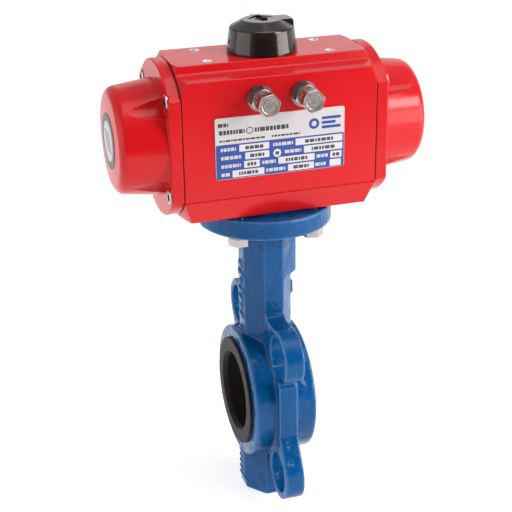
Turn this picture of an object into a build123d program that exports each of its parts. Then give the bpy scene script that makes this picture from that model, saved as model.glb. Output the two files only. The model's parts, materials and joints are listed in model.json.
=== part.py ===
from build123d import *
import os
from math import acos, cos, degrees, pi, radians, sin, sqrt, tan

# A quarter-turn rack-and-pinion pneumatic actuator bolted on a wafer butterfly valve.
# Frame: origin where the pipe axis (X) crosses the stem axis (Z); -Y is the nameplate side.

# ---- driving dimensions, millimetres -------------------------------------------------------
AXIS_Z = 191.0            # height of the cylinder axis above the pipe axis
FIT = 0.05                # radial clearance of every running or bolted fit

# actuator body, heights from the cylinder axis
BODY_HALF_LENGTH = 62.7
BODY_HALF_WIDTH = 38.3
BODY_TOP = 48.9
BODY_BOTTOM = -49.1
DECK_HALF_WIDTH = 22.7    # raised middle of the roof
SHOULDER_TOP = 42.2       # roof beside the raised middle
GROOVE_Z = -33.5          # thin groove along each side
END_TURN_R = 50.7         # radius at which the turned cone on each body end starts
END_TURN_SLOPE = 0.6
BORE_R = 32.5
POCKET_R = 21.5           # pocket in the roof of the bore where the stop cam turns
POCKET_TOP = 33.0
TAP_M5_R = 2.1
TAP_M8_R = 4.0
PORT_R = 5.7              # air ports on the back face
PORT_DEPTH = 10.0
PORT_X = 12.0
PORT_Z = 22.0
FEED_Y = 32.3             # long air passage to the spring chambers
FEED_Z = 38.0
FEED_HALF_LENGTH = 57.0
PLATE_SIZE = (84.0, 39.2)
PLATE_MIDDLE = (-0.9, -0.7)
PLATE_THICK = 0.5

# end caps
GASKET_THICK = 0.7
CAP_FLANGE_R = 49.6
CAP_FLANGE_DROP = 0.7     # centre of the flange outline below the cylinder axis
CAP_FLANGE_THICK = 7.5
CAP_END = 101.0
DOME_BASE_R = 37.2
DOME_NOSE_R = 33.4
NOSE_ROUND = 6.0
CAP_CAVITY_R = 30.0
CAVITY_END = 97.2
SPIGOT_LENGTH = 2.0
CAP_SCREW_Y = 31.6
CAP_SCREW_Z = 30.2
CAP_SCREW_R = 3.0
CAP_SCREW_SINK = 3.1      # depth of the screw seats in the cap flange
LABEL_R = 17.8
LABEL_THICK = 0.4

# pinion and stop cam
GEAR_MODULE = 1.5
GEAR_TEETH = 16
PRESSURE_ANGLE = radians(20)
BACKLASH = 0.15
ADDENDUM = 1.4
DEDENDUM = 1.95
GEAR_HALF_HEIGHT = 13.0
TOP_JOURNAL_R = 8.5
TOP_BUSH_R = 10.5
BOTTOM_JOURNAL_R = 15.0
BOTTOM_BUSH_R = 17.0
BUSH_LENGTH = 8.0
CAM_SEAT_R = 10.0
CAM_FLATS = 8.6
CAM_LOW = 25.8
CAM_HIGH = 31.8
SEAL_CORD = 0.95
TOP_SQUARE = 13.0         # squared top end of the pinion
SOCKET_DEPTH = 24.0

# position indicator
KNOB_BASE_R = 22.4
KNOB_SHOULDER_R = 20.4
KNOB_TOP_R = 12.2
WING_R = 20.9
WING_HALF = 6.5
INDICATOR_SCREW_R = 2.5

# pistons, springs and their seats
PISTON_FACE = 27.0        # inner face of the piston head at rest, from the pinion axis
PISTON_THICK = 13.4
PISTON_R = 32.3
ARM_END = -24.0
ARM_HALF_HEIGHT = 11.5
ARM_BACK_R = 29.8
WEAR_X = 30.5
WEAR_WIDTH = 5.0
WEAR_DEPTH = 2.0
SEAL_X = 37.0
SEAL_WIDTH = 3.4
SEAL_DEPTH = 2.7
SKATE_R = 32.4
SPRING_RING_R = 20.0      # circle of six springs in each cap
SPRING_COUNT = 6
SPRING_R = 4.6
WIRE_R = 0.95
SPRING_START = 33.0
SPRING_END = 95.4
SPRING_TURNS = 11

# adjusting screws on the front face
STOP_X = 14.0
STOP_Z = 29.3
STOP_TIP_Y = -13.0
STOP_HEAD_Y = -52.7
STOP_HEAD_THICK = 5.3
STOP_TIP_R = 3.0
HEX_FLATS = 13.0
HEX_TURN = 12             # degrees
NUT_THICK = 5.6
WASHER_THICK = 1.6
SEAL_WASHER_R = 8.2

# butterfly valve, heights from the pipe axis
VALVE_FLANGE_R = 44.7
VALVE_FLANGE_BOTTOM = 127.6
VALVE_FLANGE_RIM = 140.2
CONTACT_R = 30.0
FLANGE_PCD = 70.0
FLANGE_HOLE_R = 4.5
NECK_HALF_X = 16.7
NECK_HALF_Y = 20.0
PAD_LOW = 88.0
RING_R = 46.0
RING_HALF = 21.5
RIB_R = 47.4
EAR_HALF = 6.7
EAR_R = 18.9
EAR_HOLE_R = 14.0
HOOK_END = 33.0
PIPE_PCD = 125.0
BOSS_HALF_X = 17.9
BOSS_BOTTOM = -78.5
SEAT_R = 31.0             # bore of the casting behind the liner
LINER_BORE_R = 26.5
LINER_LIP_R = 37.6
LINER_HALF = 23.7
DISC_R = LINER_BORE_R - 0.3
DISC_HALF = 3.4
HUB_R = 12.6
HUB_END = 25.2
STEM_R = 9.0
STEM_SQUARE = 14.0        # across flats
STEM_BUSH_R = 11.5
STEM_SEAL_CORD = 0.79
TOP_BUSH_LOW = 116.0
STEM_SEAL_PLACES = (119.5, 123.5)
LOWER_STEM_END = -63.0
PLUG_R = 8.0
PIN_R = 2.5
PIN_Z = 14.0

PITCH_R = GEAR_MODULE * GEAR_TEETH / 2
BODY_FLOOR = AXIS_Z + BODY_BOTTOM
BODY_ROOF = AXIS_Z + BODY_TOP
CAP_FACE = BODY_HALF_LENGTH + GASKET_THICK
CAP_FLANGE_FACE = CAP_FACE + CAP_FLANGE_THICK
SPIGOT_END = BODY_HALF_LENGTH - SPIGOT_LENGTH
BOTTOM_SEAL_Z = BODY_FLOOR + 12.0
TOP_SEAL_Z = BODY_ROOF - 11.5
SNAP_Z = BODY_ROOF + 1.7
KNOB_BASE = BODY_ROOF + 0.4
KNOB_SHOULDER = BODY_ROOF + 15.4
KNOB_TOP = BODY_ROOF + 19.8
EAR_REACH = PIPE_PCD / 2 * cos(pi / 4)
X_AXIS = (1, 0, 0)
Z_AXIS = (0, 0, 1)


# ---- small helpers ------------------------------------------------------------------------
def rod(radius, start, end):
    """Cylinder from one point to another."""
    along = Vector(*end) - Vector(*start)
    return extrude(Plane(origin=start, z_dir=along) * Circle(radius), along.length)


def tube(outer, inner, start, end):
    """Ring or bush from one point to another."""
    return rod(outer, start, end) - rod(inner, start, end)


def prism(across_flats, start, end, turn=0):
    """Hexagonal bar from one point to another."""
    along = Vector(*end) - Vector(*start)
    hexagon = RegularPolygon(across_flats / 2, 6, major_radius=False, rotation=turn)
    return extrude(Plane(origin=start, z_dir=along) * hexagon, along.length)


def block(low, high):
    """Box between two corners."""
    size = [b - a for a, b in zip(low, high)]
    middle = [(a + b) / 2 for a, b in zip(low, high)]
    return Pos(*middle) * Box(*size)


def outline(points, rounds=()):
    """Flat face through points, with some corners rounded: ((x, y), radius)."""
    face = make_face(Polyline(*points, close=True))
    for corner, radius in rounds:
        nearest = face.vertices().sort_by_distance((*corner, 0))[0]
        face = fillet(nearest, radius)
    return face


def turned(points, origin, direction, rounds=()):
    """Solid of revolution from (along, radius) points about an axis."""
    side = (0, 1, 0) if abs(direction[1]) < 0.5 else X_AXIS
    plane = Plane(origin=origin, x_dir=direction, z_dir=Vector(*side))
    up = plane.y_dir
    flip = Plane(origin=origin, x_dir=direction, z_dir=Vector(*direction).cross(up))
    return revolve(flip * outline(points, rounds), Axis(origin, direction), 360)


def ring_seal(centre, direction, ring_r, cord_r):
    """O-ring."""
    return Plane(origin=centre, z_dir=direction) * Torus(ring_r, cord_r)


def group(*solids):
    """Separate solids of one node."""
    return Compound(children=list(solids))


def countersunk(radius, depth, x, y):
    """Cutter for a blind hole in the body's roof with a small countersink."""
    mouth = turned([(-0.5, 0), (-0.5, radius), (0.1, radius + 0.6), (0.1, 0)], (x, y, BODY_ROOF), Z_AXIS)
    return mouth + rod(radius, (x, y, BODY_ROOF - depth), (x, y, BODY_ROOF + 1))


def cap_screw_places():
    """(y, z) of the four end-cap screws, z from the pipe axis."""
    return [(y, AXIS_Z + z) for y in (-CAP_SCREW_Y, CAP_SCREW_Y) for z in (-CAP_SCREW_Z, CAP_SCREW_Z)]


def flange_bolt_places():
    """(x, y) of the four bolts between the valve flange and the actuator."""
    reach = FLANGE_PCD / 2 * cos(pi / 4)
    return [(x, y) for x in (-reach, reach) for y in (-reach, reach)]


def end_outline(radius, half_width):
    """Circle a little below the cylinder axis, cut flat on the two long sides."""
    disc = Pos(0, AXIS_Z - CAP_FLANGE_DROP) * Circle(radius)
    strip = Pos(0, AXIS_Z) * Rectangle(2 * half_width, 3 * radius)
    face = disc & strip
    return fillet(face.vertices(), 2.0)


# ---- actuator housing ---------------------------------------------------------------------
def body_section():
    """Half outline of the extruded body: y, z from the cylinder axis, and the corner's round."""
    return [
        (DECK_HALF_WIDTH, BODY_TOP, 0.9),
        (DECK_HALF_WIDTH + 2.2, SHOULDER_TOP + 1.4, 2.4),
        (BODY_HALF_WIDTH, SHOULDER_TOP, 1.3),
        (BODY_HALF_WIDTH, GROOVE_Z + 0.5, 0.15),
        (BODY_HALF_WIDTH - 0.7, GROOVE_Z, 0.0),
        (BODY_HALF_WIDTH - 0.2, GROOVE_Z - 0.5, 0.15),
        (33.1, BODY_BOTTOM, 1.3),
    ]


def actuator_body():
    """Extruded body with turned ends, the cylinder bore, the pinion bores and its ports."""
    half = body_section()
    loop = [(y, AXIS_Z + z) for y, z, r in half]
    loop += [(-y, AXIS_Z + z) for y, z, r in reversed(half)]
    rounds = [((side * y, AXIS_Z + z), r) for y, z, r in half for side in (-1, 1) if r > 0]
    bar = extrude(Plane.YZ * outline(loop, rounds), BODY_HALF_LENGTH, both=True)
    reach = 20.0
    short = BODY_HALF_LENGTH - END_TURN_SLOPE * reach
    blank = turned(
        [
            (-BODY_HALF_LENGTH, 0),
            (-BODY_HALF_LENGTH, END_TURN_R),
            (-short, END_TURN_R + reach),
            (short, END_TURN_R + reach),
            (BODY_HALF_LENGTH, END_TURN_R),
            (BODY_HALF_LENGTH, 0),
        ],
        (0, 0, AXIS_Z),
        X_AXIS,
    )
    body = bar & blank
    body -= rod(BORE_R, (-70, 0, AXIS_Z), (70, 0, AXIS_Z))
    body -= rod(POCKET_R, (0, 0, AXIS_Z), (0, 0, AXIS_Z + POCKET_TOP))
    body -= rod(BOTTOM_JOURNAL_R + FIT, (0, 0, BODY_FLOOR - 1), (0, 0, AXIS_Z))
    body -= rod(BOTTOM_BUSH_R + FIT, (0, 0, BODY_FLOOR - 1), (0, 0, BODY_FLOOR + BUSH_LENGTH))
    body -= rod(TOP_JOURNAL_R + FIT, (0, 0, AXIS_Z), (0, 0, BODY_ROOF + 1))
    body -= rod(TOP_BUSH_R + FIT, (0, 0, BODY_ROOF - BUSH_LENGTH), (0, 0, BODY_ROOF + 1))
    for x in (-STOP_X, STOP_X):
        body -= rod(TAP_M8_R + FIT, (x, -BODY_HALF_WIDTH - 1, AXIS_Z + STOP_Z), (x, -10, AXIS_Z + STOP_Z))
    for x in (-40, 40):
        for y in (-15, 15):
            body -= countersunk(TAP_M5_R, 9, x, y)
    for x, y in flange_bolt_places():
        body -= rod(TAP_M8_R + FIT, (x, y, BODY_FLOOR - 1), (x, y, BODY_FLOOR + 15))
    for y, z in cap_screw_places():
        for side in (-1, 1):
            end = side * (BODY_HALF_LENGTH + 1)
            body -= rod(CAP_SCREW_R + FIT, (end - side * 18, y, z), (end, y, z))
    return air_ports(body)


def air_ports(body):
    """Two air ports on the back face, their passages and the solenoid-valve screw holes."""
    back = BODY_HALF_WIDTH
    port_z = AXIS_Z + PORT_Z
    feed_z = AXIS_Z + FEED_Z
    for x in (-PORT_X, PORT_X):
        body -= rod(PORT_R, (x, back - PORT_DEPTH, port_z), (x, back + 1, port_z))
    body -= rod(2, (-PORT_X, back - PORT_DEPTH - 1, port_z), (-PORT_X, 15, port_z))
    body -= rod(2, (PORT_X, FEED_Y, port_z), (PORT_X, FEED_Y, feed_z))
    body -= rod(2, (-FEED_HALF_LENGTH, FEED_Y, feed_z), (FEED_HALF_LENGTH, FEED_Y, feed_z))
    for x in (-FEED_HALF_LENGTH, FEED_HALF_LENGTH):
        body -= rod(2, (x, FEED_Y, feed_z), (x, 10, AXIS_Z + 28))
    for x in (-16, 16):
        for z in (-12, 12):
            body -= rod(TAP_M5_R, (x, back - 8, port_z + z), (x, back + 1, port_z + z))
    return body


def nameplate():
    """Thin metal plate on the front face."""
    x, z = PLATE_MIDDLE
    front = Plane(origin=(x, -BODY_HALF_WIDTH, AXIS_Z + z), x_dir=X_AXIS, z_dir=(0, -1, 0))
    return extrude(front * RectangleRounded(*PLATE_SIZE, 1.6), PLATE_THICK)


# ---- pinion and what turns with it --------------------------------------------------------


def involute_tooth():
    """One gear tooth on the +X axis: involute flanks from the base circle to the tip."""
    base_r = PITCH_R * cos(PRESSURE_ANGLE)
    tip_r = PITCH_R + ADDENDUM
    root_r = PITCH_R - DEDENDUM
    half_pitch_angle = (pi * GEAR_MODULE / 2 - BACKLASH) / 2 / PITCH_R
    involute_at_pitch = tan(PRESSURE_ANGLE) - PRESSURE_ANGLE
    flank = []
    steps = 8
    for i in range(steps + 1):
        r = base_r + (tip_r - base_r) * i / steps
        angle = acos(base_r / r)
        half = half_pitch_angle + involute_at_pitch - (tan(angle) - angle)
        flank.append((r * cos(half), r * sin(half)))
    foot_angle = half_pitch_angle + involute_at_pitch
    foot = ((root_r - 0.5) * cos(foot_angle), (root_r - 0.5) * sin(foot_angle))
    mirror = [(x, -y) for x, y in flank]
    upper = Spline(*flank)
    lower = Spline(*reversed(mirror))
    edges = [
        Line(foot, flank[0]),
        upper,
        Line(flank[-1], mirror[-1]),
        lower,
        Line(mirror[0], (foot[0], -foot[1])),
        Line((foot[0], -foot[1]), foot),
    ]
    return make_face(Wire(Curve() + edges))


def pinion():
    """Gear shaft: bottom journal with a square socket, teeth, cam seat and squared top end."""
    low = BODY_FLOOR + 0.6
    shaft = rod(BOTTOM_JOURNAL_R, (0, 0, low), (0, 0, AXIS_Z - 15))
    shaft += rod(PITCH_R - DEDENDUM, (0, 0, AXIS_Z - 16), (0, 0, AXIS_Z + CAM_HIGH))
    gear_z = AXIS_Z - GEAR_HALF_HEIGHT
    disc = Circle(PITCH_R - DEDENDUM)
    for i in range(GEAR_TEETH):
        disc += Rot(0, 0, 360 / GEAR_TEETH * i) * involute_tooth()
    shaft += extrude(Plane.XY.offset(gear_z) * disc, 2 * GEAR_HALF_HEIGHT)
    seat = Circle(CAM_SEAT_R) & Rectangle(2 * CAM_FLATS, 3 * CAM_SEAT_R)
    shaft -= rod(12, (0, 0, AXIS_Z + CAM_LOW - 0.2), (0, 0, BODY_ROOF))
    shaft += extrude(Plane.XY.offset(AXIS_Z + CAM_LOW - 0.2) * seat, CAM_HIGH - CAM_LOW + 0.2)
    shaft += rod(TOP_JOURNAL_R, (0, 0, AXIS_Z + CAM_HIGH), (0, 0, SNAP_Z + 2.4))
    end = Circle(TOP_JOURNAL_R) & Rectangle(TOP_SQUARE, TOP_SQUARE)
    shaft += extrude(Plane.XY.offset(SNAP_Z + 2.4) * end, 8)
    across = STEM_SQUARE + 2 * FIT
    socket = Rectangle(across, across) & Circle(STEM_R + 0.1)
    shaft -= extrude(Plane.XY.offset(low - 1) * socket, SOCKET_DEPTH)
    for z, r in ((BOTTOM_SEAL_Z, BOTTOM_JOURNAL_R), (TOP_SEAL_Z, TOP_JOURNAL_R)):
        shaft -= tube(r + 1, r - 2 * SEAL_CORD, (0, 0, z - 1.1), (0, 0, z + 1.1))
    shaft -= tube(TOP_JOURNAL_R + 1, TOP_JOURNAL_R - 1, (0, 0, SNAP_Z), (0, 0, SNAP_Z + 1.1))
    shaft -= rod(INDICATOR_SCREW_R, (0, 0, SNAP_Z - 6), (0, 0, SNAP_Z + 20))
    return shaft


def stop_cam():
    """Cam on the pinion with two lobes that meet the adjusting screws."""
    face = Circle(13.5)
    lobe = 16.5
    back = STOP_TIP_Y + 0.5
    face += Pos(lobe / 2, back / 2) * Rectangle(lobe, -back)
    face += Pos(back / 2, lobe / 2) * Rectangle(-back, lobe)
    face &= Circle(20.4)
    seat = Circle(CAM_SEAT_R + 0.04) & Rectangle(2 * CAM_FLATS + 0.08, 3 * CAM_SEAT_R)
    return extrude(Plane.XY.offset(AXIS_Z + CAM_LOW) * (face - seat), CAM_HIGH - CAM_LOW - 0.2)


def pinion_bushes():
    """Plain bearings of the pinion, pressed in the body."""
    low = BODY_FLOOR + 0.1
    bottom = tube(BOTTOM_BUSH_R, BOTTOM_JOURNAL_R + FIT, (0, 0, low), (0, 0, BODY_FLOOR + BUSH_LENGTH))
    top = tube(TOP_BUSH_R, TOP_JOURNAL_R + FIT, (0, 0, BODY_ROOF - BUSH_LENGTH), (0, 0, BODY_ROOF))
    return bottom, top


def pinion_seals():
    """O-rings in the grooves of the two journals."""
    bottom = ring_seal((0, 0, BOTTOM_SEAL_Z), Z_AXIS, BOTTOM_JOURNAL_R - SEAL_CORD, SEAL_CORD)
    top = ring_seal((0, 0, TOP_SEAL_Z), Z_AXIS, TOP_JOURNAL_R - SEAL_CORD, SEAL_CORD)
    return bottom, top


def thrust_washer():
    """Washer between the body roof and the snap ring."""
    return tube(15, TOP_JOURNAL_R + FIT, (0, 0, BODY_ROOF + 0.1), (0, 0, SNAP_Z - 0.05))


def snap_ring():
    """Open retaining ring in the pinion's top groove."""
    ring = tube(11.6, TOP_JOURNAL_R - 0.95, (0, 0, SNAP_Z + 0.02), (0, 0, SNAP_Z + 1.07))
    return ring - block((-2, -14, SNAP_Z - 1), (2, 0, SNAP_Z + 3))


# ---- position indicator -------------------------------------------------------------------


def indicator_cap():
    """Round knob over the pinion's end, with a wing, a recessed arrow and an inside hub."""
    shell = turned(
        [
            (KNOB_BASE, 0),
            (KNOB_BASE, KNOB_BASE_R - 0.6),
            (KNOB_BASE + 0.9, KNOB_BASE_R - 0.6),
            (KNOB_BASE + 1.1, KNOB_BASE_R),
            (KNOB_SHOULDER, KNOB_SHOULDER_R),
            (KNOB_TOP, KNOB_TOP_R),
            (KNOB_TOP, 0),
        ],
        (0, 0, 0),
        Z_AXIS,
        rounds=(((KNOB_SHOULDER, KNOB_SHOULDER_R), 2.0), ((KNOB_TOP, KNOB_TOP_R), 0.8)),
    )
    wing = turned(
        [(KNOB_BASE + 4, 0), (KNOB_BASE + 4, WING_R), (KNOB_TOP, WING_R - 1), (KNOB_TOP, 0)],
        (0, 0, 0),
        Z_AXIS,
        rounds=(((KNOB_TOP, WING_R - 1), 1.8),),
    )
    shell += wing & block((6, -WING_HALF, KNOB_BASE), (30, WING_HALF, KNOB_TOP + 1))
    shell -= rod(18.6, (0, 0, KNOB_BASE - 1), (0, 0, BODY_ROOF + 12.6))
    shell += rod(11.4, (0, 0, SNAP_Z + 3.4), (0, 0, BODY_ROOF + 14))
    across = TOP_SQUARE + 2 * FIT
    end = Circle(TOP_JOURNAL_R + FIT) & Rectangle(across, across)
    shell -= extrude(Plane.XY.offset(SNAP_Z + 3) * end, 7.6)
    shell -= rod(INDICATOR_SCREW_R + 0.1, (0, 0, SNAP_Z + 3), (0, 0, KNOB_TOP + 1))
    shell -= rod(4.3, (0, 0, BODY_ROOF + 15.2), (0, 0, KNOB_TOP + 1))
    shell -= block((-24, -1.2, KNOB_BASE + 5.4), (-21, 1.2, KNOB_BASE + 8.2))
    return shell - arrow_recess() - pointer_slot(FIT)


def arrow_recess():
    """Arrow that points to the open side, one millimetre deep."""
    shaft = Pos(0, 1.5) * Rectangle(4.4, 17)
    tip = outline([(0, 11.2), (8.6, 2.8), (6.4, 1.6), (0, 7.2), (-6.4, 1.6), (-8.6, 2.8)])
    return extrude(Plane.XY.offset(KNOB_TOP - 1.2) * (shaft + tip), 3)


def pointer_slot(gap):
    """Room of the pointer insert at the knob's back edge."""
    return block((-3 - gap, 11.4 - gap, KNOB_SHOULDER + 0.4 - gap), (3 + gap, 17, KNOB_TOP + 1 + gap))


def indicator_pointer():
    """Pale insert that shows the pointer from afar."""
    return block((-3, 11.4, KNOB_SHOULDER + 0.4), (3, 15.2, KNOB_TOP + 0.5))


def indicator_screw():
    """Screw that holds the knob on the pinion."""
    head_low = BODY_ROOF + 15.25
    head = rod(4.2, (0, 0, head_low), (0, 0, head_low + 2.6))
    head -= block((-5, -0.5, head_low + 1.4), (5, 0.5, head_low + 4))
    return head + rod(INDICATOR_SCREW_R - FIT, (0, 0, SNAP_Z - 4), (0, 0, head_low))


# ---- pistons, springs and end caps (right side, turned half a turn for the left) ----------
def rack_gaps():
    """Cutters between the rack teeth, on the -Y side of the pinion."""
    tip_y = -(PITCH_R - ADDENDUM)
    root_y = -(PITCH_R + DEDENDUM)
    pitch = pi * GEAR_MODULE
    half_gap = pitch / 4 + BACKLASH / 2
    wide = half_gap + (ADDENDUM + 1) * tan(PRESSURE_ANGLE)
    narrow = half_gap - DEDENDUM * tan(PRESSURE_ANGLE)
    cutters = []
    for i in range(-5, 5):
        x = i * pitch
        mouth = [(x - wide, tip_y + 1), (x + wide, tip_y + 1)]
        gap = outline(mouth + [(x + narrow, root_y), (x - narrow, root_y)])
        cutters.append(extrude(Plane.XY.offset(AXIS_Z) * gap, 20, both=True))
    return cutters


def right_piston():
    """Piston head with its rack arm, seal grooves and spring pockets."""
    head_end = PISTON_FACE + PISTON_THICK
    head = rod(PISTON_R, (PISTON_FACE, 0, AXIS_Z), (head_end, 0, AXIS_Z))
    arm_low = (ARM_END, -40, AXIS_Z - ARM_HALF_HEIGHT)
    arm = block(arm_low, (PISTON_FACE + 1, ADDENDUM - PITCH_R, AXIS_Z + ARM_HALF_HEIGHT))
    arm &= rod(ARM_BACK_R, (-40, 0, AXIS_Z), (40, 0, AXIS_Z))
    for cutter in rack_gaps():
        arm -= cutter
    arm -= guide_ring(0.04)
    piston = head + arm
    for x, width, depth in ((WEAR_X, WEAR_WIDTH, WEAR_DEPTH), (SEAL_X, SEAL_WIDTH, SEAL_DEPTH)):
        piston -= tube(PISTON_R + 1, PISTON_R - depth, (x - width / 2, 0, AXIS_Z), (x + width / 2, 0, AXIS_Z))
    for y, z in spring_places():
        piston -= rod(SPRING_R + WIRE_R + 0.7, (SPRING_START - 0.3, y, z), (head_end + 1, y, z))
    return piston


def guide_ring(gap):
    """Plastic skate on the back of the rack arm, running on the bore."""
    sector = tube(SKATE_R + gap, ARM_BACK_R - 1.5 - gap, (-21 - gap, 0, AXIS_Z), (19 + gap, 0, AXIS_Z))
    return sector & block((-40, -40, AXIS_Z - 8 - gap), (40, -20, AXIS_Z + 8 + gap))


def right_wear_ring():
    """Split guide band in the piston's first groove."""
    band = tube(
        BORE_R - 0.06,
        PISTON_R - WEAR_DEPTH + 0.02,
        (WEAR_X - WEAR_WIDTH / 2 + 0.05, 0, AXIS_Z),
        (WEAR_X + WEAR_WIDTH / 2 - 0.05, 0, AXIS_Z),
    )
    return band - block((20, -1, AXIS_Z + 20), (40, 1, AXIS_Z + 40))


def right_piston_seal():
    """O-ring in the piston's second groove."""
    cord = (SEAL_DEPTH + BORE_R - PISTON_R - 0.08) / 2
    return ring_seal((SEAL_X, 0, AXIS_Z), X_AXIS, BORE_R - 0.06 - cord, cord)


def spring_places():
    """(y, z) of the six springs."""
    places = []
    for i in range(SPRING_COUNT):
        angle = radians(360 / SPRING_COUNT * (i + 0.5))
        places.append((SPRING_RING_R * cos(angle), AXIS_Z + SPRING_RING_R * sin(angle)))
    return places


def right_springs():
    """Six compression springs between the piston and the cap."""
    length = SPRING_END - SPRING_START
    coil_length = length - 2 * WIRE_R
    coil = Helix(coil_length / SPRING_TURNS, coil_length, SPRING_R)
    start = Plane(origin=coil @ 0, z_dir=coil % 0)
    spring = sweep(start * Circle(WIRE_R), path=coil)
    lie_down = Rot(0, 90, 0)
    return group(*[Pos(SPRING_START + WIRE_R, y, z) * (lie_down * spring) for y, z in spring_places()])


def right_spring_seats():
    """Cups that centre the springs in the end cap."""
    seats = []
    for y, z in spring_places():
        cup = rod(6.2, (SPRING_END + 0.3, y, z), (CAVITY_END - 0.05, y, z))
        seats.append(cup + rod(2.8, (SPRING_END - 3, y, z), (SPRING_END + 0.4, y, z)))
    return group(*seats)


def right_end_cap():
    """Domed cap with a flange, screw scallops in the dome and a spigot in the bore."""
    flange = extrude(Plane.YZ.offset(CAP_FACE) * end_outline(CAP_FLANGE_R, BODY_HALF_WIDTH), CAP_FLANGE_THICK)
    flange = fillet(flange.edges().group_by(Axis.X)[-1], 0.9)
    foot = CAP_FLANGE_FACE
    corner = (CAP_END - 0.8, DOME_NOSE_R)
    dome = turned(
        [
            (foot - 1, 0),
            (foot - 1, DOME_BASE_R + 0.9),
            (foot, DOME_BASE_R + 0.9),
            (foot, DOME_BASE_R),
            corner,
            (CAP_END, LABEL_R + 0.5),
            (CAP_END, 0),
        ],
        (0, 0, AXIS_Z),
        X_AXIS,
        rounds=(((foot, DOME_BASE_R), 0.8), (corner, NOSE_ROUND)),
    )
    strip = block((50, -BODY_HALF_WIDTH, AXIS_Z - 60), (110, BODY_HALF_WIDTH, AXIS_Z + 60))
    cap = flange + (dome & strip)
    scallop = [(0, 0), (0, 10.2), (22, 9.3), (34, 8.6), (34, 0)]
    for y, z in cap_screw_places():
        cap -= turned(scallop, (foot, y, z), X_AXIS)
        cap -= rod(5.3, (foot - CAP_SCREW_SINK, y, z), (CAP_END, y, z))
        cap -= rod(CAP_SCREW_R + FIT, (CAP_FACE - 1, y, z), (CAP_END, y, z))
    cap += tube(BORE_R - FIT, CAP_CAVITY_R, (SPIGOT_END, 0, AXIS_Z), (CAP_FACE + 1, 0, AXIS_Z))
    mouth = SPIGOT_END - 1
    cavity = [(mouth, 0), (mouth, CAP_CAVITY_R), (90.5, CAP_CAVITY_R), (CAVITY_END, 26.5), (CAVITY_END, 0)]
    return cap - turned(cavity, (0, 0, AXIS_Z), X_AXIS)


def right_cap_gasket():
    """Flat gasket between the body and the cap."""
    face = end_outline(CAP_FLANGE_R - 0.7, BODY_HALF_WIDTH - 0.6)
    sheet = extrude(Plane.YZ.offset(BODY_HALF_LENGTH) * face, GASKET_THICK)
    sheet -= rod(BORE_R + 0.1, (50, 0, AXIS_Z), (70, 0, AXIS_Z))
    for y, z in cap_screw_places():
        sheet -= rod(CAP_SCREW_R + FIT, (50, y, z), (70, y, z))
    return sheet


def right_cap_screws():
    """Four low-head socket screws."""
    seat = CAP_FLANGE_FACE - CAP_SCREW_SINK
    screws = []
    for y, z in cap_screw_places():
        head = rod(5, (seat, y, z), (seat + 4, y, z))
        head = chamfer(head.edges().filter_by(GeomType.CIRCLE).sort_by(Axis.X)[-1], 0.5)
        head -= prism(5, (seat + 1.6, y, z), (seat + 5, y, z))
        screws.append(head + rod(CAP_SCREW_R, (BODY_HALF_LENGTH - 15, y, z), (seat, y, z)))
    return group(*screws)


def right_end_label():
    """Round label plate on the cap's nose."""
    return rod(LABEL_R, (CAP_END, 0, AXIS_Z), (CAP_END + LABEL_THICK, 0, AXIS_Z))


# ---- stop screws --------------------------------------------------------------------------
def hex_piece(x, start, end, turn):
    """Hexagon along Y at a stop screw, its corners cut back at the front end."""
    z = AXIS_Z + STOP_Z
    crown = turned([(0, 0), (0, 6.3), (0.9, 7.6), (9, 7.6), (9, 0)], (x, end, z), (0, 1, 0))
    return prism(HEX_FLATS, (x, start, z), (x, end, z), turn) & crown


def stop_screw(x):
    """Hexagon-head adjusting screw with a reduced tip."""
    z = AXIS_Z + STOP_Z
    screw = hex_piece(x, STOP_HEAD_Y, STOP_HEAD_Y - STOP_HEAD_THICK, HEX_TURN)
    screw += rod(TAP_M8_R, (x, STOP_HEAD_Y, z), (x, STOP_TIP_Y - 3.6, z))
    return screw + rod(STOP_TIP_R, (x, STOP_TIP_Y - 4, z), (x, STOP_TIP_Y, z))


def stop_nut(x):
    """Lock nut of an adjusting screw."""
    z = AXIS_Z + STOP_Z
    low = -BODY_HALF_WIDTH - WASHER_THICK
    nut = hex_piece(x, low, low - NUT_THICK, -HEX_TURN)
    return nut - rod(TAP_M8_R + FIT, (x, -60, z), (x, -20, z))


def stop_washer(x):
    """Washer under the lock nut."""
    z = AXIS_Z + STOP_Z
    face = -BODY_HALF_WIDTH
    return tube(SEAL_WASHER_R, 4.3, (x, face, z), (x, face - WASHER_THICK, z))


# ---- butterfly valve ----------------------------------------------------------------------
def octagon(half_x, half_y, flat_x, flat_y):
    """Octagon with its own flat widths on the X and Y sides."""
    quarter = [(half_x, flat_x), (flat_y, half_y)]
    loop = quarter + [(-x, y) for x, y in reversed(quarter)]
    loop += [(-x, -y) for x, y in quarter]
    loop += [(x, -y) for x, y in reversed(quarter)]
    return outline(loop)


def ear_plate(upper, hook):
    """Bolt ear at a front corner, in (y, z): a full ring, or a hook open towards the pipe axis."""
    side = 1 if upper else -1
    centre = (-EAR_REACH, side * EAR_REACH)
    plate = Pos(*centre) * Circle(EAR_R)
    if upper:
        top = EAR_REACH + EAR_R - 1.4
        neck_side = [
            (-EAR_REACH, top),
            (-NECK_HALF_Y - 1, top),
            (-NECK_HALF_Y, top + 9),
            (-10, top + 9),
            (-10, 40),
            (-30, 30),
            (-EAR_REACH, EAR_REACH),
        ]
        plate += outline(neck_side, rounds=(((-NECK_HALF_Y - 1, top), 7.0),))
    if not hook:
        pipe_side = [
            (-60.6, side * 34.2),
            (-45.6, side * 9.6),
            (-30, side * 12),
            (-26, side * 38),
            (-EAR_REACH, side * EAR_REACH),
        ]
        plate += outline(pipe_side)
    plate -= Pos(*centre) * Circle(EAR_HOLE_R)
    if hook:
        mouth = [(-90, side * HOOK_END), (-31, side * HOOK_END), (-31, 0), (-90, 0)]
        plate -= outline(mouth)
    return plate


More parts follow.
